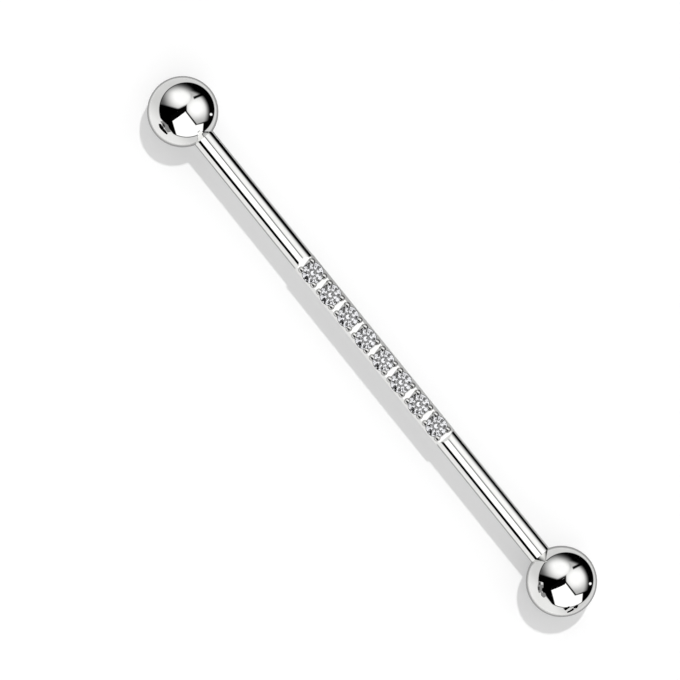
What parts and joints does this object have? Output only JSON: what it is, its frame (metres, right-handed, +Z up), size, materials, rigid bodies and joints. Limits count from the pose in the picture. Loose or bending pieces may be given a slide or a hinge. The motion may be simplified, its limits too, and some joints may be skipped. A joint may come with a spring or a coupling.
{
  "type": "industrial barbell",
  "caption": "Long straight body jewellery bar with a row of round clear stones set in its middle and a screw-on ball at each end.",
  "frame": {"origin": "on the ground below the middle of the barbell, which rests on its two balls", "axes": "+X along the bar towards the right ball, +Z up, the way the stones face"},
  "size_m": [0.0472, 0.005, 0.005],
  "materials": {
    "polished_steel": "mirror-polished surgical steel",
    "clear_stone": "faceted and polished clear cubic zirconia"
  },
  "bodies": {
    "shank": {"bar": "polished_steel", "stone_1": "clear_stone", "stone_2": "clear_stone", "stone_3": "clear_stone", "stone_4": "clear_stone", "stone_5": "clear_stone", "stone_6": "clear_stone", "stone_7": "clear_stone", "stone_8": "clear_stone"},
    "left_end": {"ball_left": "polished_steel"},
    "right_end": {"ball_right": "polished_steel"}
  },
  "joints": [
    {"name": "ball_left_off", "type": "slide", "parent": "shank", "child": "left_end", "axis": [-1, 0, 0], "range_m": [0, 0.006]},
    {"name": "ball_right_off", "type": "slide", "parent": "shank", "child": "right_end", "axis": [1, 0, 0], "range_m": [0, 0.006]}
  ]
}
